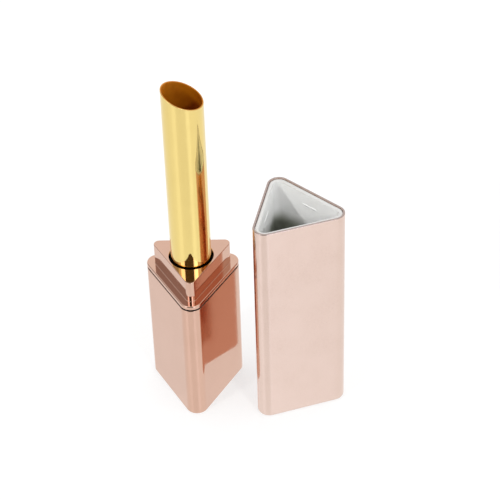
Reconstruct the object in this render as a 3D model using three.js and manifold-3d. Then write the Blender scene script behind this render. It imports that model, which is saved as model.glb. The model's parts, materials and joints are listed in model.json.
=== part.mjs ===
// A slim lipstick case with a rounded-triangle section, standing open.
// The base stands on its closed end with the gilt tube up, and the cap stands
// mouth up beside it. Millimetres, +Z up. The origin is the middle of the
// base's underside, on the axis that the tube turns about.
import * as THREE from 'three';
import { mergeVertices } from 'three/addons/utils/BufferGeometryUtils.js';
import Module from 'manifold-3d';

const wasm = await Module();
wasm.setup();

// ---------------------------------------------------------------- driving sizes
const SIDE = 26;                        // sharp side of the triangle, before rounding
const IN_RADIUS = SIDE / (2 * Math.sqrt(3)); // middle of a flat to the axis
const CORNER_RADIUS = 2.8;              // rounding of the three upright edges
const ARC_STEPS = 8;                    // chords round one upright edge
const ROUND_STEPS = 30;                 // chords round a turned part
const FIT = 0.05;                       // gap at a pressed or glued joint
const RUN = 0.1;                        // gap at a turning joint

const SHELL_WALL = 0.6;
const SHELL_FLOOR = 0.8;
const SHELL_TOP = 33.2;                 // rim of the base shell
const FLANGE_BOTTOM = 33.65;
const FLANGE_TOP = 34.6;
const NECK_TOP = 40.2;
const NECK_INSET = 1.75;                // neck face behind the flange's edge
const NECK_RADIUS = 1.3;
const NECK_BORE = 5.25;

const TUBE_RADIUS = 4.8;
const TUBE_WALL = 0.35;
const MOUTH_Z = 85.7;                   // middle of the slant-cut mouth
const MOUTH_SLANT = THREE.MathUtils.degToRad(22);
const MOUTH_HIGH_SIDE = THREE.MathUtils.degToRad(172.6);

const LEAD = 13.8;                      // rise of the cup in one turn
const TURNS = 5 / 3;                    // ends with the triangles in line again
const TRAVEL = LEAD * TURNS;

const CAP_HEIGHT = 56.9;
const CAP_PLACE = new THREE.Vector3(23.88, -3.79, 0);
const CAP_TURN = THREE.MathUtils.degToRad(-41.7);
const CAP_WALL = 0.5;
const CAP_FLOOR = 0.8;
const LINER_WALL = 0.9;
const LINER_RIM_DROP = 0.3;             // liner's rim below the shell's rim
const LINER_FLOOR_TOP = 2.9;

// ------------------------------------------------------ sizes worked out from them
const BORE = IN_RADIUS - SHELL_WALL - FIT - 0.6;   // round bore of the insert
const LINED = SHELL_WALL + RUN;                    // insert's face behind the shell's
const SLEEVE_RADIUS = BORE - RUN;
const FORK_RADIUS = TUBE_RADIUS + 0.05;
const FORK_BORE = 4.05;
const SLEEVE_BORE = FORK_RADIUS + RUN;
const GROOVE_RADIUS = 5.7;
const GROOVE_HEIGHT = 1.9;
const LUG_REACH = GROOVE_RADIUS - 0.2;
const LUG_WIDTH = 1.2;
const LUG_HEIGHT = 1.0;
const LUG_Z = 7.2;                                 // lugs with the cup right down
const WEIGHT_TOP = 3.4;
const FOOT_BOTTOM = WEIGHT_TOP + RUN;
const FOOT_TOP = FOOT_BOTTOM + 0.8;
const SLEEVE_BOTTOM = FOOT_TOP + 0.2;
const SNAP_Z = 5.0;                                // bead that holds sleeve on fork
const DRAG_Z = 5.75;                               // ring that gives the turn its drag
const DRAG_SECTION = 0.28;
const SLOT_BOTTOM = LUG_Z - 1.0;
const SLOT_TOP = LUG_Z + TRAVEL + 0.8;
const FORK_TOP = SLOT_TOP + 0.6;
const SHOULDER_Z = FORK_TOP + 0.3;                 // sleeve narrows to pass the collar
const SEAT_Z = FLANGE_BOTTOM + 0.05;               // gilt tube stands on the sleeve here
const STEM_RADIUS = FORK_BORE - 0.25;
const STEM_BORE = 3.0;
const NECK_TUBE_BORE = 4.0;
const SPIGOT_TOP = 41.0;
const CUP_FLOOR = SPIGOT_TOP + 0.3;
const CUP_RADIUS = TUBE_RADIUS - TUBE_WALL - 0.2;
const CUP_BORE = 3.8;
const CUP_TOP = 58.3;

// ------------------------------------------------------------------ shape helpers

// Points round the triangle's outline, moved in by inset from the outer faces.
// One upright edge looks along -Y.
function outline(inset, radius = CORNER_RADIUS - inset) {
  const reach = 2 * (IN_RADIUS - inset - radius);
  const points = [];
  for (let corner = 0; corner < 3; corner += 1) {
    const towards = -Math.PI / 2 + corner * (2 * Math.PI / 3);
    const centre = new THREE.Vector2(Math.cos(towards), Math.sin(towards)).multiplyScalar(reach);
    const arc = new THREE.EllipseCurve(
      centre.x, centre.y, radius, radius, towards - Math.PI / 3, towards + Math.PI / 3,
    );
    points.push(...arc.getPoints(ARC_STEPS));
  }
  return points;
}

// A solid with the triangular outline. The profile runs up the outside and back
// down the inside as [inset, z] or [inset, z, corner radius], and a flat face
// closes each of its ends.
function triangular(profile) {
  const rings = profile.map(([inset, z, radius]) => ({ z, points: outline(inset, radius) }));
  const count = rings[0].points.length;
  const positions = [];
  rings.forEach(({ z, points }) => points.forEach((p) => positions.push(p.x, p.y, z)));
  const first = rings.length * count;
  positions.push(0, 0, rings[0].z);
  positions.push(0, 0, rings[rings.length - 1].z);
  const index = [];
  for (let i = 0; i < count; i += 1) {
    const next = (i + 1) % count;
    for (let ring = 0; ring < rings.length - 1; ring += 1) {
      const low = ring * count;
      const high = low + count;
      index.push(low + i, low + next, high + next, low + i, high + next, high + i);
    }
    const last = (rings.length - 1) * count;
    index.push(first, next, i);
    index.push(first + 1, last + i, last + next);
  }
  const geometry = new THREE.BufferGeometry();
  geometry.setAttribute('position', new THREE.Float32BufferAttribute(positions, 3));
  geometry.setIndex(index);
  return geometry;
}

// A turned solid from [radius, z] points, which run up the outside and down the
// inside. A ring's profile closes on itself.
function turned(profile) {
  const points = profile.map(([radius, z]) => new THREE.Vector2(radius, z));
  return new THREE.LatheGeometry(points, ROUND_STEPS).rotateX(Math.PI / 2);
}

function ring(inner, outer, bottom, top) {
  return turned([[inner, bottom], [outer, bottom], [outer, top], [inner, top], [inner, bottom]]);
}

function rod(radius, bottom, top) {
  return turned([[0, bottom], [radius, bottom], [radius, top], [0, top]]);
}

function box(x, y, z, centre) {
  return new THREE.BoxGeometry(x, y, z).translate(...centre);
}

function solid(geometry) {
  const bare = geometry.clone();
  bare.deleteAttribute('normal');
  bare.deleteAttribute('uv');
  const merged = mergeVertices(bare);
  return new wasm.Manifold(new wasm.Mesh({
    numProp: 3,
    vertProperties: new Float32Array(merged.attributes.position.array),
    triVerts: new Uint32Array(merged.index.array),
  }));
}

function cut(geometry, ...tools) {
  return surface(tools.reduce((body, tool) => body.subtract(solid(tool)), solid(geometry)));
}

function join(geometry, ...others) {
  return surface(others.reduce((body, other) => body.add(solid(other)), solid(geometry)));
}

function surface(body) {
  const mesh = body.getMesh();
  const geometry = new THREE.BufferGeometry();
  geometry.setAttribute('position', new THREE.Float32BufferAttribute(mesh.vertProperties, 3));
  geometry.setIndex(Array.from(mesh.triVerts));
  return geometry;
}

// A helical groove for one lug: a rectangle carried round and up at the lead.
function helicalGroove(startAngle) {
  const inner = SLEEVE_BORE - 0.3;
  const stepAngle = 2 * Math.PI / ROUND_STEPS;
  const steps = Math.round(TURNS * ROUND_STEPS) + 2;  // runs one step past each end
  const positions = [];
  for (let i = 0; i <= steps; i += 1) {
    const turn = (i - 1) * stepAngle;
    const middle = LUG_Z + LEAD * turn / (2 * Math.PI);
    const x = Math.cos(startAngle + turn);
    const y = Math.sin(startAngle + turn);
    const low = middle - GROOVE_HEIGHT / 2;
    const high = middle + GROOVE_HEIGHT / 2;
    positions.push(inner * x, inner * y, low, GROOVE_RADIUS * x, GROOVE_RADIUS * y, low);
    positions.push(GROOVE_RADIUS * x, GROOVE_RADIUS * y, high, inner * x, inner * y, high);
  }
  const index = [0, 1, 2, 0, 2, 3];
  for (let i = 0; i < steps; i += 1) {
    for (let side = 0; side < 4; side += 1) {
      const a = i * 4 + side;
      const b = i * 4 + (side + 1) % 4;
      index.push(a, a + 4, b, b, a + 4, b + 4);
    }
  }
  const end = steps * 4;
  index.push(end, end + 2, end + 1, end, end + 3, end + 2);
  const geometry = new THREE.BufferGeometry();
  geometry.setAttribute('position', new THREE.Float32BufferAttribute(positions, 3));
  geometry.setIndex(index);
  return geometry;
}

// ------------------------------------------------------------------------- pieces

// Drawn aluminium cup, closed at the bottom.
function baseShell() {
  const edge = 0.4;
  return triangular([
    [edge, 0], [0, edge], [0, SHELL_TOP], [SHELL_WALL, SHELL_TOP], [SHELL_WALL, SHELL_FLOOR],
  ]);
}

// Black moulding that fills the shell and carries the works in its round bore.
// Its lip lies on the shell's rim and shows as the dark line under the collar.
function baseInsert() {
  const lipInset = 0.15;
  const lipBottom = SHELL_TOP + FIT;
  const lipTop = SHELL_TOP + 0.3;
  const body = triangular([
    [LINED, SHELL_FLOOR + RUN], [LINED, lipBottom], [lipInset, lipBottom], [lipInset, lipTop],
  ]);
  return cut(body, rod(BORE, 0, SHELL_TOP + 5));
}

function baseWeight() {
  return rod(BORE - 0.2, SHELL_FLOOR + RUN, WEIGHT_TOP);
}

// Slotted guide, fixed in the base. Its two long slots stop the cup turning.
function guideFork() {
  const bead = 0.3;
  const groove = FORK_RADIUS - 0.5;
  const body = turned([
    [0, FOOT_BOTTOM], [BORE - 0.2, FOOT_BOTTOM], [BORE - 0.2, FOOT_TOP], [FORK_RADIUS, FOOT_TOP],
    [FORK_RADIUS, SNAP_Z - 0.2], [FORK_RADIUS + bead, SNAP_Z], [FORK_RADIUS, SNAP_Z + 0.2],
    [FORK_RADIUS, DRAG_Z - 0.32], [groove, DRAG_Z - 0.32], [groove, DRAG_Z + 0.32],
    [FORK_RADIUS, DRAG_Z + 0.32], [FORK_RADIUS, FORK_TOP], [FORK_BORE, FORK_TOP],
    [FORK_BORE, FOOT_TOP + 0.5], [0, FOOT_TOP + 0.5],
  ]);
  const slotWidth = LUG_WIDTH + 0.4;
  const slotHeight = SLOT_TOP - SLOT_BOTTOM;
  const slots = box(4 * FORK_RADIUS, slotWidth, slotHeight, [0, 0, SLOT_BOTTOM + slotHeight / 2]);
  return cut(body, slots);
}

// Silicone ring in the fork's groove, which rubs in the sleeve.
function dragRing() {
  const middle = FORK_RADIUS - 0.22;
  const section = [];
  const sides = 8;
  for (let i = 0; i <= sides; i += 1) {
    const angle = (i % sides) * 2 * Math.PI / sides;
    section.push([middle + DRAG_SECTION * Math.cos(angle), DRAG_Z + DRAG_SECTION * Math.sin(angle)]);
  }
  return turned(section);
}

// Sleeve with two helical grooves, fixed under the collar. It turns round the fork.
function spiralSleeve() {
  const snapGroove = SLEEVE_BORE + 0.4;
  const upper = NECK_BORE - RUN;
  const spigot = TUBE_RADIUS - TUBE_WALL - FIT;
  const body = turned([
    [SLEEVE_BORE, SLEEVE_BOTTOM], [SLEEVE_RADIUS, SLEEVE_BOTTOM], [SLEEVE_RADIUS, SHOULDER_Z],
    [upper, SHOULDER_Z], [upper, SEAT_Z], [spigot, SEAT_Z], [spigot, SPIGOT_TOP],
    [NECK_TUBE_BORE, SPIGOT_TOP], [NECK_TUBE_BORE, FORK_TOP + 0.2], [SLEEVE_BORE, FORK_TOP + 0.2],
    [SLEEVE_BORE, SNAP_Z + 0.3], [snapGroove, SNAP_Z + 0.1], [snapGroove, SNAP_Z - 0.1],
    [SLEEVE_BORE, SNAP_Z - 0.25], [SLEEVE_BORE, SLEEVE_BOTTOM],
  ]);
  return cut(body, helicalGroove(0), helicalGroove(Math.PI));
}

// Mirror-finished collar: flange, three-sided neck and the skirt that runs in the base.
function collar() {
  const edge = 0.2;
  const skirtBottom = SHOULDER_Z + RUN;
  const body = triangular([
    [edge, FLANGE_BOTTOM], [0, FLANGE_BOTTOM + edge], [0, FLANGE_TOP - edge], [edge, FLANGE_TOP],
    [NECK_INSET, FLANGE_TOP, NECK_RADIUS], [NECK_INSET, NECK_TOP - edge, NECK_RADIUS],
    [NECK_INSET + edge, NECK_TOP, NECK_RADIUS - edge],
  ]);
  const skirt = rod(SLEEVE_RADIUS, skirtBottom, FLANGE_BOTTOM + 0.5);
  const rimChamfer = turned([
    [0, NECK_TOP - 0.5], [NECK_BORE - 0.35, NECK_TOP - 0.5], [NECK_BORE + 0.35, NECK_TOP + 0.2],
    [0, NECK_TOP + 0.2],
  ]);
  return cut(join(body, skirt), rod(NECK_BORE, 0, NECK_TOP + 5), rimChamfer);
}

// Black ring that packs the gap between the gilt tube and the collar.
function centringRing() {
  const depth = 0.9;
  return ring(TUBE_RADIUS + FIT, NECK_BORE - RUN, SEAT_Z + 0.3, NECK_TOP - depth);
}

// Gilt aluminium tube with its mouth cut on the slant.
function giltTube() {
  const block = 40;
  const up = new THREE.Vector3(0, 0, 1);
  const lean = new THREE.Vector3(-Math.cos(MOUTH_HIGH_SIDE), -Math.sin(MOUTH_HIGH_SIDE), 0);
  const normal = lean.multiplyScalar(Math.tan(MOUTH_SLANT)).add(up).normalize();
  const tool = new THREE.BoxGeometry(block, block, block);
  tool.applyQuaternion(new THREE.Quaternion().setFromUnitVectors(up, normal));
  tool.translate(normal.x * block / 2, normal.y * block / 2, MOUTH_Z + normal.z * block / 2);
  const body = ring(TUBE_RADIUS - TUBE_WALL, TUBE_RADIUS, SEAT_Z + FIT, MOUTH_Z + TUBE_RADIUS);
  return cut(body, tool);
}

// Cup that grips the lipstick, with a spigot for the stem.
function bulletCup() {
  const spigot = STEM_BORE - FIT;
  return turned([
    [0, CUP_FLOOR - 3], [spigot, CUP_FLOOR - 3], [spigot, CUP_FLOOR], [CUP_RADIUS, CUP_FLOOR],
    [CUP_RADIUS, CUP_TOP - 0.3], [CUP_BORE + 0.1, CUP_TOP], [CUP_BORE, CUP_TOP - 0.5],
    [CUP_BORE, CUP_FLOOR + 1], [0, CUP_FLOOR + 1],
  ]);
}

// Hollow stem under the cup. The bar across its foot gives the two lugs.
function liftStem() {
  const bottom = LUG_Z - 0.8;
  const body = ring(STEM_BORE, STEM_RADIUS, bottom, CUP_FLOOR - RUN);
  return join(body, box(2 * LUG_REACH, LUG_WIDTH, LUG_HEIGHT, [0, 0, LUG_Z]));
}

// Drawn aluminium cap, here mouth up on its closed end.
function capShell() {
  const edge = 0.9;
  const halfway = edge * (1 - Math.SQRT1_2);
  return triangular([
    [edge, 0], [halfway, halfway], [0, edge], [0, CAP_HEIGHT],
    [CAP_WALL, CAP_HEIGHT], [CAP_WALL, CAP_FLOOR],
  ]);
}

// White moulded liner with a small grip bead in the middle of each wall.
function capLiner() {
  const outer = CAP_WALL + FIT;
  const inner = outer + LINER_WALL;
  const rim = CAP_HEIGHT - LINER_RIM_DROP;
  const underside = LINER_FLOOR_TOP - 1.2;
  const lead = 0.2;
  const body = triangular([
    [inner, underside], [inner, CAP_FLOOR + RUN], [outer, CAP_FLOOR + RUN], [outer, rim],
    [inner - lead, rim], [inner, rim - lead], [inner, LINER_FLOOR_TOP],
  ]);
  const bead = { length: 4.5, height: 0.5, proud: 0.2, buried: 0.3, belowMouth: 3.6 };
  const beads = [0, 1, 2].map((wall) => {
    const reach = IN_RADIUS - inner - bead.proud + (bead.proud + bead.buried) / 2;
    const one = box(bead.length, bead.proud + bead.buried, bead.height, [0, reach, 0]);
    return one.rotateZ(wall * 2 * Math.PI / 3).translate(0, 0, CAP_HEIGHT - bead.belowMouth);
  });
  return join(body, ...beads);
}

// ----------------------------------------------------------------------- assembly

const finishes = {
  roseGold: new THREE.MeshStandardMaterial({ color: '#d9a592', roughness: 0.08, metalness: 1 }),
  roseSatin: new THREE.MeshStandardMaterial({ color: '#e3bfb1', roughness: 0.3, metalness: 0.9 }),
  gilt: new THREE.MeshStandardMaterial({ color: '#e6c469', roughness: 0.08, metalness: 1 }),
  black: new THREE.MeshStandardMaterial({ color: '#15110f', roughness: 0.5, metalness: 0 }),
  white: new THREE.MeshStandardMaterial({ color: '#dfe3e0', roughness: 0.4, metalness: 0 }),
  amber: new THREE.MeshStandardMaterial({ color: '#9a5f22', roughness: 0.3, metalness: 0 }),
  steel: new THREE.MeshStandardMaterial({ color: '#8d9093', roughness: 0.4, metalness: 1 }),
  silicone: new THREE.MeshStandardMaterial({ color: '#7d4138', roughness: 0.7, metalness: 0 }),
};

function piece(name, geometry, finish) {
  const mesh = new THREE.Mesh(geometry, finishes[finish].clone());
  mesh.name = name;
  return mesh;
}

const lipstickCase = new THREE.Group();
lipstickCase.add(
  piece('base_shell', baseShell(), 'roseGold'),
  piece('base_insert', baseInsert(), 'black'),
  piece('base_weight', baseWeight(), 'steel'),
  piece('guide_fork', guideFork(), 'white'),
  piece('drag_ring', dragRing(), 'silicone'),
  piece('spiral_sleeve', spiralSleeve(), 'black'),
  piece('collar', collar(), 'roseGold'),
  piece('centring_ring', centringRing(), 'black'),
  piece('gilt_tube', giltTube(), 'gilt'),
  piece('bullet_cup', bulletCup(), 'amber'),
  piece('lift_stem', liftStem(), 'white'),
);

const cap = new THREE.Group();
cap.position.copy(CAP_PLACE);
cap.rotation.z = CAP_TURN;
cap.add(
  piece('cap_shell', capShell(), 'roseSatin'),
  piece('cap_liner', capLiner(), 'white'),
);
lipstickCase.add(cap);

export default lipstickCase;
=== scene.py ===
"""Looks of a slim triangular lipstick case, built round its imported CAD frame.

Sizes below are in millimetres, and meshes are made in metres in the frame of
the CAD model: +Z up, the origin under the middle of the base.
"""

import json
import math

import bpy
from mathutils import Matrix, Vector


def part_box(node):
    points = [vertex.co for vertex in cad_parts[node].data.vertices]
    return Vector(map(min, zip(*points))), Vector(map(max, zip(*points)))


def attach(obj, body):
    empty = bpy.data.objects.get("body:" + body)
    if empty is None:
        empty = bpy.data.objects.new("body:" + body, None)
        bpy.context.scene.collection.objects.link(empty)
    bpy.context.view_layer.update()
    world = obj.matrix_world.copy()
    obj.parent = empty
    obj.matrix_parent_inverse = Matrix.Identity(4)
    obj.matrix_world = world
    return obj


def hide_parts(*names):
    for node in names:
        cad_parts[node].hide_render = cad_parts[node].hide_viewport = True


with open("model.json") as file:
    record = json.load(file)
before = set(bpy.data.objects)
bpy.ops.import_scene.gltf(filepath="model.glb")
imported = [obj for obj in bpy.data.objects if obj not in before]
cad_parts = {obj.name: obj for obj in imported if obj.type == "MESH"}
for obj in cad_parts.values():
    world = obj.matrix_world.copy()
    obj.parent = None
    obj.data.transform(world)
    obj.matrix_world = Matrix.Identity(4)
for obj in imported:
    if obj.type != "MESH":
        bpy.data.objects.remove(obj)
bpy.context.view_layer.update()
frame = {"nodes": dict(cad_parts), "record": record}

MM = 0.001
THIRD = 2 * math.pi / 3


# ------------------------------------------------------------ sizes from the frame

def millimetres(node):
    """Lowest and highest corner of a CAD node, in millimetres."""
    low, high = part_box(node)
    return low / MM, high / MM


SHELL_LOW, SHELL_HIGH = millimetres("base_shell")
COLLAR_LOW, COLLAR_HIGH = millimetres("collar")
TUBE_LOW, TUBE_HIGH = millimetres("gilt_tube")
RING_LOW, RING_HIGH = millimetres("centring_ring")
CUP_LOW, CUP_HIGH = millimetres("bullet_cup")
LINER_LOW, LINER_HIGH = millimetres("cap_liner")

IN_RADIUS = SHELL_HIGH.y                # middle of a flat to the axis
CORNER_RADIUS = 2 * IN_RADIUS + SHELL_LOW.y
SHELL_TOP = SHELL_HIGH.z
SHELL_WALL = 0.6
SHELL_FLOOR = 0.8                       # of the base and of the cap
NECK_TOP = COLLAR_HIGH.z
FLANGE_TOP = NECK_TOP - 5.6
FLANGE_BOTTOM = SHELL_TOP + 0.45
NECK_INSET = 1.75
NECK_CORNER = 1.3
NECK_BORE = 5.25
SKIRT_RADIUS = 6.1
TUBE_RADIUS = (TUBE_HIGH.x - TUBE_LOW.x) / 2
TUBE_WALL = 0.35
MOUTH_Z = 85.7                          # middle of the slant-cut mouth
MOUTH_SLANT = math.radians(22)
MOUTH_HIGH_SIDE = math.radians(172.6)
CUP_RADIUS = (CUP_HIGH.y - CUP_LOW.y) / 2
CUP_BORE = 3.8
CUP_FLOOR = CUP_LOW.z + 3
CAP_HEIGHT = millimetres("cap_shell")[1].z
CAP_CENTRE = Vector((23.88, -3.79, 0))
CAP_TURN = math.radians(-41.7)
CAP_WALL = 0.5
LINER_GAP = 0.05
LINER_WALL = 0.9
LINER_FLOOR = 2.9
BEAD_DEPTH = 3.6                        # grip beads below the cap's mouth
BEAD_LENGTH = 4.5
BEAD_PROUD = 0.1
BEAD_HALF_HEIGHT = 0.3

PLAY = 0.1                              # between fitted pieces
INSERT_FOOT = 20                        # the insert is made from here up
LIP_INSET = 0.08                        # the insert's lip behind the flats
LIP_PLAY_BELOW = 0.03
LIP_PLAY_ABOVE = 0.04
RING_DROP = 0.2                         # centring ring below its CAD top
FACE_WIDTH = 2.2                        # floor of a drawn shell to its flat, at the ends
# Painted shade in the liner: darkest this far below the mouth, fading out by the next depth.
LINER_SHADE_DEPTH = 12.2                 # the liner is darkest this far below the mouth
LINER_SHADE_END_DEPTH = 7.8                 # and has its own tone from here up

ARC_STEPS = 24                          # chords round one upright edge
FLAT_STEPS = 20                         # parts along one flat
TURN_STEPS = 144                        # chords round a turned piece
FILLET_STEPS = 5                        # chords round a small fillet
BEAD_STEPS = 16                         # parts along a bead
BEAD_SIDES = 12


# ---------------------------------------------------------------------- mesh tools

class Ring:
    """One closed loop of points with the surface normal at each."""

    def __init__(self, points, normals):
        self.points = points
        self.normals = normals


def rounded(corners):
    """Stations (u, z, nu, nz) along a profile whose corners are (u, z, fillet radius).

    u is the distance from the axis. The profile runs up the outside and down the
    inside, so that the surface faces to its right.
    """
    stations = []
    last = len(corners) - 1
    for i, (u, z, radius) in enumerate(corners):
        here = Vector((u, z))
        before = (here - Vector(corners[i - 1][:2])).normalized() if i > 0 else None
        after = (Vector(corners[i + 1][:2]) - here).normalized() if i < last else None
        if before is None or after is None:
            along = before or after
            stations.append((u, z, along.y, -along.x))
            continue
        side = math.copysign(1, before.x * after.y - before.y * after.x)
        turn = before.angle(after)
        start = here - before * radius * math.tan(turn / 2)
        first = Vector((before.y, -before.x))
        centre = start - first * side * radius
        for step in range(FILLET_STEPS + 1):
            angle = side * turn * step / FILLET_STEPS
            normal = Vector((
                first.x * math.cos(angle) - first.y * math.sin(angle),
                first.x * math.sin(angle) + first.y * math.cos(angle),
            ))
            point = centre + normal * side * radius
            stations.append((point.x, point.y, normal.x, normal.y))
    return stations


def triangle_outline(in_radius, corner):
    """Points and outward normals round a rounded triangle, one edge looking along -Y."""
    reach = 2 * (in_radius - corner)
    arcs = []
    for k in range(3):
        towards = -math.pi / 2 + k * THIRD
        centre = Vector((math.cos(towards), math.sin(towards))) * reach
        arc = []
        for step in range(ARC_STEPS + 1):
            angle = towards - math.pi / 3 + THIRD * step / ARC_STEPS
            normal = Vector((math.cos(angle), math.sin(angle)))
            arc.append((centre + normal * corner, normal))
        arcs.append(arc)
    outline = []
    for k, arc in enumerate(arcs):
        outline += arc
        (start, normal), (end, _) = arc[-1], arcs[(k + 1) % 3][0]
        for step in range(1, FLAT_STEPS):
            outline.append((start.lerp(end, step / FLAT_STEPS), normal))
    return outline


def triangle_rings(profile, corner_at):
    """Rings of a rounded-triangle solid. corner_at gives the corner radius at a distance u."""
    rings = []
    for u, z, nu, nz in rounded(profile):
        outline = triangle_outline(u, corner_at(u))
        points = [Vector((p.x, p.y, z)) for p, _ in outline]
        normals = [Vector((n.x * nu, n.y * nu, nz)) for _, n in outline]
        rings.append(Ring(points, normals))
    return rings


def even_angles():
    return [2 * math.pi * i / TURN_STEPS for i in range(TURN_STEPS)]


def turned_rings(profile, angles=None):
    """Rings of a turned solid from a profile of (radius, z, fillet radius)."""
    rings = []
    for r, z, nr, nz in rounded(profile):
        points = []
        normals = []
        for angle in angles or even_angles():
            across = Vector((math.cos(angle), math.sin(angle), 0))
            points.append(across * r + Vector((0, 0, z)))
            normals.append(across * nr + Vector((0, 0, nz)))
        rings.append(Ring(points, normals))
    return rings


def loft(name, rings, closed=False, place=None):
    """A mesh through a run of matching rings. Open ends on the axis are closed flat."""
    count = len(rings[0].points)
    points = [p for ring in rings for p in ring.points]
    normals = [n for ring in rings for n in ring.normals]
    faces = []
    spans = len(rings) if closed else len(rings) - 1
    for j in range(spans):
        low = j * count
        high = (j + 1) % len(rings) * count
        for i in range(count):
            nxt = (i + 1) % count
            faces.append((low + i, low + nxt, high + nxt, high + i))
    if not closed:
        for ring, first in ((rings[0], True), (rings[-1], False)):
            base = 0 if first else (len(rings) - 1) * count
            hub = len(points)
            points.append(sum(ring.points, Vector()) / count)
            normals.append(ring.normals[0].copy())
            for i in range(count):
                nxt = (i + 1) % count
                pair = (base + nxt, base + i) if first else (base + i, base + nxt)
                faces.append((hub, *pair))
    return make_mesh(name, points, normals, faces, place or Matrix.Identity(4))


def make_mesh(name, points, normals, faces, place):
    mesh = bpy.data.meshes.new(name)
    mesh.from_pydata([place @ p * MM for p in points], [], faces)
    mesh.update()
    turn = place.to_3x3()
    mesh.normals_split_custom_set_from_vertices([(turn @ n).normalized() for n in normals])
    piece = bpy.data.objects.new(name, mesh)
    bpy.context.scene.collection.objects.link(piece)
    return piece


def same_corner(in_radius, corner):
    """Corner radius that keeps the outline parallel to one of this in-radius and corner."""
    return lambda u: corner + u - in_radius


# ---------------------------------------------------------------------- node tools

class Wires:
    """Builds a node tree a node at a time."""

    def __init__(self, tree):
        self.nodes = tree.nodes
        self.links = tree.links

    def node(self, kind, **values):
        node = self.nodes.new(kind)
        for key, value in values.items():
            setattr(node, key, value)
        return node

    def feed(self, value, socket):
        """Sets a socket to a number or colour, or links an output to it."""
        if isinstance(value, tuple):
            socket.default_value = (*value, 1)
        elif isinstance(value, (int, float)):
            socket.default_value = value
        else:
            self.links.new(value, socket)

    def parts(self, vector):
        """The X, Y and Z of a vector."""
        node = self.node("ShaderNodeSeparateXYZ")
        self.links.new(vector, node.inputs[0])
        return node.outputs

    def math(self, operation, *values):
        node = self.node("ShaderNodeMath", operation=operation)
        for value, socket in zip(values, node.inputs):
            self.feed(value, socket)
        return node.outputs[0]

    def ramp(self, value, low, high, out_low=0.0, out_high=1.0):
        """A smooth step from out_low, where value is low, to out_high, where it is high."""
        node = self.node("ShaderNodeMapRange", interpolation_type="SMOOTHSTEP")
        for name, number in (
            ("From Min", low), ("From Max", high), ("To Min", out_low), ("To Max", out_high),
        ):
            node.inputs[name].default_value = number
        self.links.new(value, node.inputs["Value"])
        return node.outputs["Result"]

    def blend(self, factor, a, b):
        """Colour a where the factor is 0, going to b where it is 1."""
        node = self.node("ShaderNodeMix", data_type="RGBA")
        self.feed(factor, node.inputs["Factor"])
        colours = [socket for socket in node.inputs if socket.type == "RGBA"]
        self.feed(a, colours[0])
        self.feed(b, colours[1])
        return [socket for socket in node.outputs if socket.type == "RGBA"][0]

    def beside(self, x, y, azimuth):
        """How far (x, y) lies to the left of a line from the origin towards an azimuth."""
        along = self.math("MULTIPLY", x, -math.sin(azimuth))
        return self.math("MULTIPLY_ADD", y, math.cos(azimuth), along)


class Paint(Wires):
    """One Principled material, built node by node."""

    def __init__(self, name):
        self.material = bpy.data.materials.new(name)
        self.material.use_nodes = True
        super().__init__(self.material.node_tree)
        self.shader = self.nodes["Principled BSDF"]
        self.place = self.node("ShaderNodeTexCoord").outputs["Object"]

    def set(self, **values):
        for key, value in values.items():
            self.shader.inputs[key.replace("_", " ")].default_value = value
        return self

    def noise(self, size, detail=3.0, roughness=0.5):
        """Noise whose features are about size millimetres across."""
        node = self.node("ShaderNodeTexNoise")
        node.inputs["Scale"].default_value = 1 / (size * MM)
        node.inputs["Detail"].default_value = detail
        node.inputs["Roughness"].default_value = roughness
        self.links.new(self.place, node.inputs["Vector"])
        return node.outputs["Fac"]

    def colour(self, value):
        self.links.new(value, self.shader.inputs["Base Color"])

    def roughness(self, value):
        self.links.new(value, self.shader.inputs["Roughness"])

    def bump(self, value, depth, under=None):
        """Bump of about depth millimetres, on top of another bump if there is one."""
        node = self.node("ShaderNodeBump")
        node.inputs["Strength"].default_value = 1.0
        node.inputs["Distance"].default_value = depth * MM
        self.links.new(value, node.inputs["Height"])
        if under is not None:
            self.links.new(under, node.inputs["Normal"])
        self.links.new(node.outputs["Normal"], self.shader.inputs["Normal"])
        return node.outputs["Normal"]


def polished(name, light, deep, gloss, wave):
    """Polished anodised metal: faint haze, smudges and drawing waves."""
    paint = Paint(name).set(Metallic=1.0)
    paint.colour(paint.blend(paint.ramp(paint.noise(9.0), 0.3, 0.7), deep, light))
    smudge = paint.noise(4.0, detail=5.0)
    paint.roughness(paint.ramp(smudge, 0.35, 0.75, gloss, gloss + 0.05))
    broad = paint.bump(paint.noise(7.0, detail=1.0), wave)
    paint.bump(paint.noise(0.12, detail=2.0), 0.0004, under=broad)
    return paint.material


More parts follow.
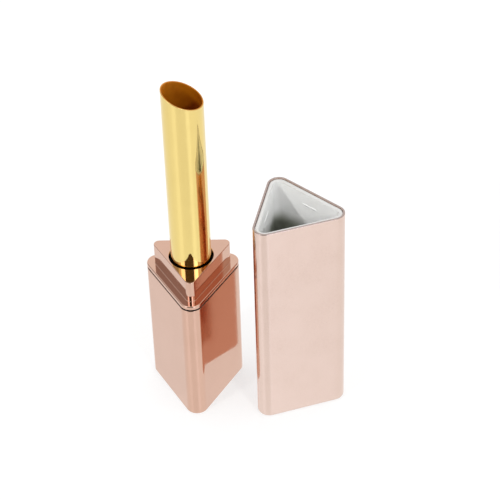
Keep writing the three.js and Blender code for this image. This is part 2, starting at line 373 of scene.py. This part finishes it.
def satin(name, light, deep, side, rim):
    """Fine-blasted anodised metal, with painted shade: deeper copper on its left wall and dark at
    the rim of its mouth.
    """
    paint = Paint(name).set(Metallic=1.0)
    grain = paint.noise(0.45, detail=3.0, roughness=0.6)
    cloud = paint.ramp(paint.noise(7.0, detail=2.0), 0.3, 0.7)
    body = paint.blend(paint.ramp(grain, 0.3, 0.7), deep, light)
    body = paint.blend(cloud, body, light)
    x, y, z = paint.parts(paint.place)
    # Painted shade: the left wall, which faces the base, is painted a deeper copper that stands in
    # for the copper light and shade bounced between the cap and the base.
    from_x = paint.math("SUBTRACT", x, CAP_CENTRE.x * MM)
    from_y = paint.math("SUBTRACT", y, CAP_CENTRE.y * MM)
    out = paint.beside(from_x, from_y, CAP_TURN + THIRD)
    shaded_left_wall = paint.ramp(out, (IN_RADIUS - 0.9) * MM, (IN_RADIUS - 0.1) * MM)
    body = paint.blend(shaded_left_wall, body, side)
    # Painted shade: the top of the rim is painted dark, standing in for the shade of the gap by
    # the liner and hiding the highlight on the rim's rounding.
    edge = paint.ramp(z, (CAP_HEIGHT - 0.11) * MM, (CAP_HEIGHT - 0.07) * MM)
    paint.colour(paint.blend(edge, body, rim))
    uneven = paint.ramp(paint.noise(1.2, detail=4.0), 0.3, 0.7, 0.13, 0.17)
    paint.roughness(paint.math("MULTIPLY_ADD", shaded_left_wall, 0.04, uneven))
    blasted = paint.bump(grain, 0.0012)
    paint.bump(paint.noise(0.09, detail=2.0), 0.0006, under=blasted)
    return paint.material


def moulded(name, light, deep, gloss, **sockets):
    """Moulded plastic: fine texture, slight shade changes, uneven gloss."""
    paint = Paint(name).set(**sockets)
    paint.colour(paint.blend(paint.ramp(paint.noise(3.0), 0.3, 0.7), deep, light))
    paint.roughness(paint.ramp(paint.noise(1.5), 0.3, 0.7, gloss, gloss + 0.12))
    paint.bump(paint.noise(0.25), 0.004)
    return paint.material


def liner(name, light, dark, rim):
    """Smooth pale moulding, with painted shade: dark where it is deep inside the cap, and a darker
    grey on its rim.
    """
    paint = Paint(name)
    z = paint.parts(paint.place)["Z"]
    deep = tuple(0.97 * value for value in light)
    tone = paint.blend(paint.ramp(paint.noise(5.0), 0.3, 0.7), deep, light)
    # Painted shade: the moulding is painted dark deep inside the cap and a darker grey on its rim,
    # standing in for shade there.
    depth_shade_fade = paint.ramp(
        z, (CAP_HEIGHT - LINER_SHADE_DEPTH) * MM, (CAP_HEIGHT - LINER_SHADE_END_DEPTH) * MM)
    rim_shade_mask = paint.ramp(z, (LINER_HIGH.z - 0.5) * MM, (LINER_HIGH.z - 0.2) * MM)
    paint.colour(paint.blend(rim_shade_mask, paint.blend(depth_shade_fade, dark, tone), rim))
    paint.roughness(paint.ramp(paint.noise(1.5), 0.3, 0.7, 0.30, 0.38))
    paint.bump(paint.noise(0.4, detail=2.0), 0.0003)
    return paint.material


# Colours are linear red, green and blue.
ROSE = (0.71, 0.455, 0.35)
ROSE_DEEP = (0.69, 0.44, 0.335)
PALE_ROSE = (0.80, 0.62, 0.54)
PALE_ROSE_DEEP = (0.755, 0.575, 0.495)
# Painted shade: a deeper copper for the cap's left wall, standing in for light bounced between the
# cap and the base.
SHADED_SIDE_ROSE = (0.70, 0.38, 0.27)
# Painted shade for the rim at the cap's mouth.
RIM_SHADE = (0.47, 0.38, 0.35)
GOLD = (0.90, 0.70, 0.26)
GOLD_DEEP = (0.88, 0.68, 0.25)

FINISHES = {
    "rose_gold_mirror": polished("rose_gold_mirror", ROSE, ROSE_DEEP, 0.05, 0.0008),
    "rose_gold_plated_plastic": polished(
        "rose_gold_plated_plastic", ROSE, ROSE_DEEP, 0.04, 0.0012),
    "gold_mirror": polished("gold_mirror", GOLD, GOLD_DEEP, 0.05, 0.0008),
    "rose_gold_satin": satin(
        "rose_gold_satin", PALE_ROSE, PALE_ROSE_DEEP, SHADED_SIDE_ROSE, RIM_SHADE),
    # Painted shade: the liner's dark colour is shade painted deep inside the cap, and its grey rim
    # colour is shade painted on the rim.
    "liner_plastic": liner(
        "liner_plastic", (0.965, 0.97, 0.965), (0.33, 0.345, 0.295), (0.72, 0.72, 0.71)),
    # Painted shade as well as a real colour: near-black, so that in the seam under the collar and
    # the gap round the tube it stands in for their shade.
    "black_plastic": moulded(
        "black_plastic", (0.006, 0.005, 0.004), (0.004, 0.003, 0.003), 0.5,
        Specular_IOR_Level=0.08),
    "white_plastic": moulded("white_plastic", (0.78, 0.78, 0.75), (0.74, 0.74, 0.71), 0.35),
    "amber_plastic": moulded("amber_plastic", (0.50, 0.26, 0.06), (0.44, 0.22, 0.05), 0.25),
    "silicone": moulded("silicone", (0.30, 0.10, 0.07), (0.25, 0.08, 0.06), 0.6),
    "steel": polished("steel", (0.55, 0.56, 0.57), (0.45, 0.46, 0.48), 0.3, 0.002),
}

# The inside of the gilt tube, less shiny than its outside and painted a deep amber that stands in
# for the shade and gold-on-gold reflections inside it.
SHADED_GOLD_INSIDE = moulded(
    "gold_inside_shaded", (0.62, 0.21, 0.006), (0.54, 0.17, 0.004), 0.35, Metallic=0.45)


def dress(piece, slot, body, *nodes):
    """Gives a piece its finish and its body, in place of the CAD nodes it stands for."""
    piece.data.materials.clear()
    piece.data.materials.append(FINISHES[slot])
    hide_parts(*nodes)
    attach(piece, body)
    return piece


# -------------------------------------------------------------------------- pieces

def build_base_shell():
    inner = IN_RADIUS - SHELL_WALL
    profile = [
        (IN_RADIUS - FACE_WIDTH, 0, 0), (IN_RADIUS, 0, 0.45), (IN_RADIUS, SHELL_TOP, 0.1),
        (inner, SHELL_TOP, 0.1), (inner, SHELL_FLOOR, 0.3),
        (IN_RADIUS - FACE_WIDTH, SHELL_FLOOR, 0),
    ]
    rings = triangle_rings(profile, same_corner(IN_RADIUS, CORNER_RADIUS))
    dress(loft("base_shell_drawn", rings), "rose_gold_mirror", "base", "base_shell")


def build_insert_lip():
    """The black moulding in the base. Its near-black lip fills the seam under the collar, a real
    part that also stands in for the shade in that gap.
    """
    side = IN_RADIUS - SHELL_WALL - PLAY
    lip = IN_RADIUS - LIP_INSET
    lip_low = SHELL_TOP + LIP_PLAY_BELOW
    top = FLANGE_BOTTOM - LIP_PLAY_ABOVE
    profile = [
        (side, INSERT_FOOT, 0), (side, lip_low, 0.05), (lip, lip_low, 0.08), (lip, top, 0.08),
        (IN_RADIUS - 1.2, top, 0),
    ]
    rings = triangle_rings(profile, same_corner(IN_RADIUS, CORNER_RADIUS))
    angles = [math.atan2(p.y, p.x) for p in rings[-1].points]
    bore = SKIRT_RADIUS + PLAY
    rings += turned_rings([(bore + 0.2, top, 0), (bore, top, 0.1), (bore, INSERT_FOOT, 0)], angles)
    dress(loft("base_insert_lip", rings, closed=True), "black_plastic", "base", "base_insert")


def build_collar():
    neck = IN_RADIUS - NECK_INSET
    flange = triangle_rings([
        (IN_RADIUS - 1.2, FLANGE_BOTTOM, 0), (IN_RADIUS, FLANGE_BOTTOM, 0.12),
        (IN_RADIUS, FLANGE_TOP, 0.28), (neck + 0.7, FLANGE_TOP, 0),
    ], same_corner(IN_RADIUS, CORNER_RADIUS))
    upper = triangle_rings([
        (neck + 0.5, FLANGE_TOP, 0), (neck, FLANGE_TOP, 0.12), (neck, NECK_TOP, 0.16),
        (neck - 0.25, NECK_TOP, 0),
    ], same_corner(neck, NECK_CORNER))
    angles = [math.atan2(p.y, p.x) for p in upper[-1].points]
    bore = turned_rings([
        (NECK_BORE + 0.12, NECK_TOP, 0), (NECK_BORE + 0.1, NECK_TOP, 0.02),
        (NECK_BORE, NECK_TOP - 0.12, 0.04), (NECK_BORE, COLLAR_LOW.z, 0.1),
        (SKIRT_RADIUS, COLLAR_LOW.z, 0.1), (SKIRT_RADIUS, FLANGE_BOTTOM, 0.05),
        (SKIRT_RADIUS + 0.1, FLANGE_BOTTOM, 0),
    ], angles)
    rings = flange + upper + bore
    piece = loft("collar_plated", rings, closed=True)
    dress(piece, "rose_gold_plated_plastic", "barrel", "collar")


# The near-black ring fills the gap round the tube, a real part that also stands in for the shade
# down that gap.
def build_centring_ring():
    inner = TUBE_RADIUS + 0.05
    outer = NECK_BORE - PLAY
    top = RING_HIGH.z - RING_DROP
    profile = [
        (inner, RING_LOW.z + 1, 0), (inner, RING_LOW.z, 0.05), (outer, RING_LOW.z, 0.05),
        (outer, top, 0.08), (inner, top, 0.08),
        (inner, RING_LOW.z + 1.1, 0),
    ]
    piece = loft("centring_ring_black", turned_rings(profile), closed=True)
    dress(piece, "black_plastic", "barrel", "centring_ring")


def mouth_ring(radius, drop, normal_out, normal_up):
    """A ring on the slant-cut mouth, drop below the cut, its normal between side and cut."""
    cut = Vector((
        -math.cos(MOUTH_HIGH_SIDE) * math.sin(MOUTH_SLANT),
        -math.sin(MOUTH_HIGH_SIDE) * math.sin(MOUTH_SLANT),
        math.cos(MOUTH_SLANT),
    ))
    points = []
    normals = []
    for angle in even_angles():
        across = Vector((math.cos(angle), math.sin(angle), 0))
        rise = radius * math.cos(angle - MOUTH_HIGH_SIDE) * math.tan(MOUTH_SLANT)
        points.append(across * radius + Vector((0, 0, MOUTH_Z + rise - drop)))
        normals.append((across * normal_out + cut * normal_up).normalized())
    return Ring(points, normals)


def build_gilt_tube():
    inner = TUBE_RADIUS - TUBE_WALL
    edge = 0.09
    low = turned_rings([
        (inner, TUBE_LOW.z + 1, 0), (inner, TUBE_LOW.z, 0.05), (TUBE_RADIUS, TUBE_LOW.z, 0.05),
        (TUBE_RADIUS, TUBE_LOW.z + 1, 0),
    ])
    half = edge * (1 - math.sqrt(0.5))
    mouth = [
        mouth_ring(TUBE_RADIUS, 4, 1, 0),
        mouth_ring(TUBE_RADIUS, edge, 1, 0),
        mouth_ring(TUBE_RADIUS - half, half, 1, 1),
        mouth_ring(TUBE_RADIUS - edge, 0, 0, 1),
        mouth_ring(inner + edge, 0, 0, 1),
        mouth_ring(inner + half, half, -1, 1),
        mouth_ring(inner, edge, -1, 0),
        mouth_ring(inner, 4, -1, 0),
    ]
    piece = loft("gilt_tube_slant", low + mouth, closed=True)
    dress(piece, "gold_mirror", "barrel", "gilt_tube")
    # The inner faces take the deep amber painted as shade inside the tube.
    piece.data.materials.append(SHADED_GOLD_INSIDE)
    for face in piece.data.polygons:
        middle = face.center / MM
        if math.hypot(middle.x, middle.y) < TUBE_RADIUS - 0.12:
            face.material_index = 1


def build_bullet_cup():
    spigot = 2.95
    rings = turned_rings([
        (0.3, CUP_LOW.z, 0), (spigot, CUP_LOW.z, 0.2), (spigot, CUP_FLOOR, 0.05),
        (CUP_RADIUS, CUP_FLOOR, 0.2), (CUP_RADIUS, CUP_HIGH.z, 0.12),
        (CUP_BORE, CUP_HIGH.z, 0.25), (CUP_BORE, CUP_FLOOR + 1, 0.4),
        (0.3, CUP_FLOOR + 1, 0),
    ])
    dress(loft("bullet_cup_moulded", rings), "amber_plastic", "cup", "bullet_cup")


def cap_place():
    return Matrix.Translation(CAP_CENTRE) @ Matrix.Rotation(CAP_TURN, 4, "Z")


def build_cap_shell():
    inner = IN_RADIUS - CAP_WALL
    profile = [
        (IN_RADIUS - FACE_WIDTH, 0, 0), (IN_RADIUS, 0, 0.9), (IN_RADIUS, CAP_HEIGHT, 0.2),
        (inner, CAP_HEIGHT, 0.05), (inner, SHELL_FLOOR, 0.4),
        (IN_RADIUS - FACE_WIDTH, SHELL_FLOOR, 0),
    ]
    rings = triangle_rings(profile, same_corner(IN_RADIUS, CORNER_RADIUS))
    piece = loft("cap_shell_drawn", rings, place=cap_place())
    dress(piece, "rose_gold_satin", "cap", "cap_shell")


def build_cap_liner():
    outer = IN_RADIUS - CAP_WALL - LINER_GAP
    inner = outer - LINER_WALL
    top = LINER_HIGH.z
    foot = LINER_LOW.z
    profile = [
        (inner - 0.5, LINER_FLOOR - 1.2, 0), (inner, LINER_FLOOR - 1.2, 0.1), (inner, foot, 0.1),
        (outer, foot, 0.1), (outer, top, 0.12), (inner, top, 0.45),
        (inner, LINER_FLOOR, 0.6), (inner - 0.75, LINER_FLOOR, 0),
    ]
    rings = triangle_rings(profile, same_corner(IN_RADIUS, CORNER_RADIUS))
    liner = loft("cap_liner_moulded", rings, place=cap_place())
    dress(liner, "liner_plastic", "cap", "cap_liner")
    for wall in range(3):
        build_grip_bead(wall, inner)


def build_grip_bead(wall, inner):
    """A long low bead in the middle of one wall of the liner."""
    half = BEAD_LENGTH / 2
    rings = []
    for i in range(BEAD_STEPS + 1):
        along = -math.cos(math.pi * i / BEAD_STEPS)
        swell = math.sqrt(max(0.0, 1 - along ** 4)) + 0.02
        points = []
        normals = []
        for k in range(BEAD_SIDES):
            angle = 2 * math.pi * k / BEAD_SIDES
            normal = Vector((0, math.cos(angle), math.sin(angle)))
            points.append(Vector((
                along * half,
                inner + normal.y * BEAD_PROUD * swell,
                normal.z * BEAD_HALF_HEIGHT * swell,
            )))
            normals.append(normal)
        rings.append(Ring(points, normals))
    turn = Matrix.Rotation(wall * THIRD, 4, "Z")
    lift = Matrix.Translation((0, 0, CAP_HEIGHT - BEAD_DEPTH))
    piece = loft(f"grip_bead_{wall + 1}", rings, place=cap_place() @ lift @ turn)
    dress(piece, "liner_plastic", "cap")


def finish_hidden_nodes():
    """The works inside keep their CAD shapes and get their finishes."""
    slots = {row["node"]: row["material_slot"] for row in frame["record"]["subparts"]}
    for name in ("base_weight", "guide_fork", "drag_ring", "spiral_sleeve", "lift_stem"):
        node = frame["nodes"][name]
        node.data.materials.clear()
        node.data.materials.append(FINISHES[slots[name]])


# ------------------------------------------------------------------ stage and light

CAMERA_TURN = math.radians(1.43)        # to the left of looking along +Y
CAMERA_TILT = math.radians(39.5)
CAMERA_ROLL = math.radians(-1.889)
CAMERA_DISTANCE = 436.25
CAMERA_TARGET = Vector((13.868, 0.346, 41.172))
CAMERA_LENS = 133.8


def build_camera():
    ahead = Vector((-math.sin(CAMERA_TURN), math.cos(CAMERA_TURN), 0))
    ahead = ahead * math.cos(CAMERA_TILT) - Vector((0, 0, math.sin(CAMERA_TILT)))
    level = Vector((math.cos(CAMERA_TURN), math.sin(CAMERA_TURN), 0))
    upright = level.cross(ahead)
    right = level * math.cos(CAMERA_ROLL) + upright * math.sin(CAMERA_ROLL)
    up = right.cross(ahead)
    data = bpy.data.cameras.new("camera")
    data.lens = CAMERA_LENS
    data.sensor_width = 36
    data.clip_start = 0.01
    camera = bpy.data.objects.new("camera", data)
    bpy.context.scene.collection.objects.link(camera)
    turn = Matrix((right, up, -ahead)).transposed().to_4x4()
    place = (CAMERA_TARGET - ahead * CAMERA_DISTANCE) * MM
    camera.matrix_world = Matrix.Translation(place) @ turn
    bpy.context.scene.camera = camera


FLOOR_HALF = 3.0
FLOOR_Z = -0.03
MIRRORED_DROP = 0.01
# Each floor sheet's tone, glow, roughness and specular level.
FLOOR_SEEN = (0.35, 0.68, 0.6, 0.2)
FLOOR_MIRRORED = (0.93, 0.04, 0.22, 0.6)


def floor_sheet(name, z, material):
    """A large flat sheet z millimetres up, which belongs to the stage."""
    mesh = bpy.data.meshes.new(name)
    corners = [
        (-FLOOR_HALF, -FLOOR_HALF), (FLOOR_HALF, -FLOOR_HALF),
        (FLOOR_HALF, FLOOR_HALF), (-FLOOR_HALF, FLOOR_HALF),
    ]
    mesh.from_pydata([(x, y, z * MM) for x, y in corners], [], [(0, 1, 2, 3)])
    mesh.materials.append(material)
    sheet = bpy.data.objects.new(name, mesh)
    bpy.context.scene.collection.objects.link(sheet)
    return sheet


def floor_paint(name, tone, glow, roughness, specular):
    """A plain pale floor of one tone, with a faint cloudiness."""
    paint = Paint(name).set(Roughness=roughness, Specular_IOR_Level=specular)
    cloud = paint.ramp(paint.noise(60.0), 0.3, 0.7)
    darker = tone - 0.01
    paint.colour(paint.blend(cloud, (darker, darker, darker), (tone, tone, tone)))
    paint.set(Emission_Color=(1, 1, 1, 1), Emission_Strength=glow)
    return paint.material


def build_floor():
    """The floor as it is seen directly, and just under it a sheet only reflections show."""
    seen = floor_sheet("floor", FLOOR_Z, floor_paint("floor", *FLOOR_SEEN))
    seen.visible_glossy = False
    mirrored = floor_sheet(
        "floor_mirrored", FLOOR_Z - MIRRORED_DROP,
        floor_paint("floor_mirrored", *FLOOR_MIRRORED))
    mirrored.visible_camera = False
    mirrored.visible_diffuse = False
    mirrored.visible_shadow = False


# Patches of the studio that differ from its walls, each with the azimuth and elevation
# of its middle, its half width and half height, its soft edge (all in degrees), its colour.
DOME = (1.0, 1.0, 1.0)
PATCHES = (
    (166, 35, 27, 40, 10, (0.47, 0.47, 0.50)),      # dim wall behind on the left
    (20, 35, 25, 40, 12, (0.8, 0.8, 0.8)),          # a little dim on the right
    (-98, 30, 30, 36, 8, (0.10, 0.08, 0.05)),       # dark behind the camera
    (0, 90, 181, 32, 16, (1.1, 1.1, 1.1)),          # ceiling
)


def build_world():
    world = bpy.data.worlds.new("studio")
    world.use_nodes = True
    bpy.context.scene.world = world
    sky = Wires(world.node_tree)
    x, y, z = sky.parts(sky.node("ShaderNodeTexCoord").outputs["Generated"])
    rise = sky.math("ARCSINE", z)
    colour = DOME
    for azimuth, elevation, wide, high, soft, bright in PATCHES:
        a, e, w, h, s = (math.radians(v) for v in (azimuth, elevation, wide, high, soft))
        across = sky.beside(x, y, a)
        along = sky.beside(x, y, a - math.pi / 2)
        aside = sky.math("ABSOLUTE", sky.math("ARCTAN2", across, along))
        above = sky.math("ABSOLUTE", sky.math("SUBTRACT", rise, e))
        in_width = sky.ramp(aside, w + s / 2, w - s / 2)
        in_height = sky.ramp(above, h + s / 2, h - s / 2)
        colour = sky.blend(sky.math("MULTIPLY", in_width, in_height), colour, bright)
    sky.links.new(colour, world.node_tree.nodes["Background"].inputs["Color"])


LAMP_DISTANCE = 1500
# Lamps, each with its use, azimuth, elevation, width and height in degrees, and brightness.
# A mirrored lamp is seen in shiny surfaces, and a diffused one lights matt surfaces.
LAMPS = (
    ("mirrored", -63, 36, 17, 24, 2.5),
    ("mirrored", -138, 36, 18, 22, 1.6),
    ("diffused", -59.5, 34, 5, 5, 100),
    ("diffused", -138, 34, 5, 5, 100),
)
MIRRORED_LAMP_COLOUR = (0.85, 0.97, 1.25)


def build_lamp(number, use, azimuth, elevation, width, height, bright):
    a, e = math.radians(azimuth), math.radians(elevation)
    away = Vector((math.cos(a) * math.cos(e), math.sin(a) * math.cos(e), math.sin(e)))
    turn = (-away).to_track_quat("-Z", "Y").to_matrix().to_4x4()
    data = bpy.data.lights.new(f"lamp_{number}_{use}", "AREA")
    data.shape = "RECTANGLE"
    data.size = LAMP_DISTANCE * MM * math.radians(width)
    data.size_y = LAMP_DISTANCE * MM * math.radians(height)
    data.energy = bright * math.pi * data.size * data.size_y
    if use == "mirrored":
        data.color = MIRRORED_LAMP_COLOUR
    light = bpy.data.objects.new(data.name, data)
    bpy.context.scene.collection.objects.link(light)
    light.matrix_world = Matrix.Translation(away * LAMP_DISTANCE * MM) @ turn
    light.visible_diffuse = use == "diffused"
    light.visible_glossy = use == "mirrored"
    light.visible_camera = False


build_camera()
build_floor()
build_world()
for number, lamp in enumerate(LAMPS, start=1):
    build_lamp(number, *lamp)

build_base_shell()
build_insert_lip()
build_collar()
build_centring_ring()
build_gilt_tube()
build_bullet_cup()
build_cap_shell()
build_cap_liner()
finish_hidden_nodes()

bpy.context.scene.view_settings.view_transform = "Standard"
bpy.context.scene.cycles.glossy_bounces = 12
